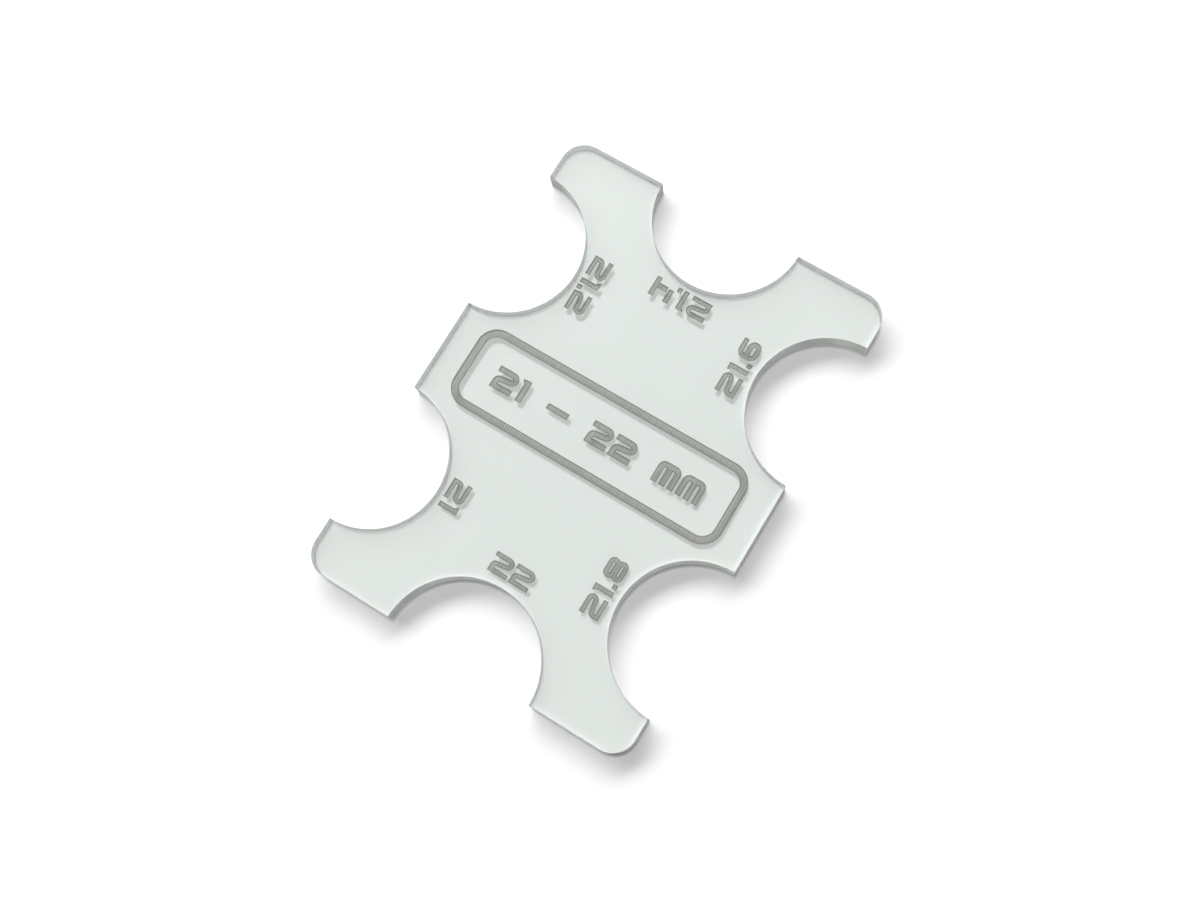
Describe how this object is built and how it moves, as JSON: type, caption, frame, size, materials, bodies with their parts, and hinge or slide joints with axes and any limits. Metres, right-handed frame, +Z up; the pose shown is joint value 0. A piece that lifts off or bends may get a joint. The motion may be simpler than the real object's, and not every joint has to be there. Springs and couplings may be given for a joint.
{
  "type": "tire diameter gauge",
  "caption": "Flat clear acrylic gauge plate with half-round notches in its edges, for checking the outside diameter of small model-car tires",
  "frame": {"origin": "middle of the plate's underside, on the surface it lies on", "axes": "+X across the plate, in the reading direction of the middle field; +Y along the plate towards the 21.4 mm notch; +Z up, out of the engraved face"},
  "size_m": [0.05, 0.07, 0.003],
  "materials": {
    "clear_acrylic": "clear cast acrylic sheet, polished faces, laser-cut edges, engraved marks frosted"
  },
  "bodies": {
    "root": {"gauge_plate": "clear_acrylic"}
  },
  "joints": []
}
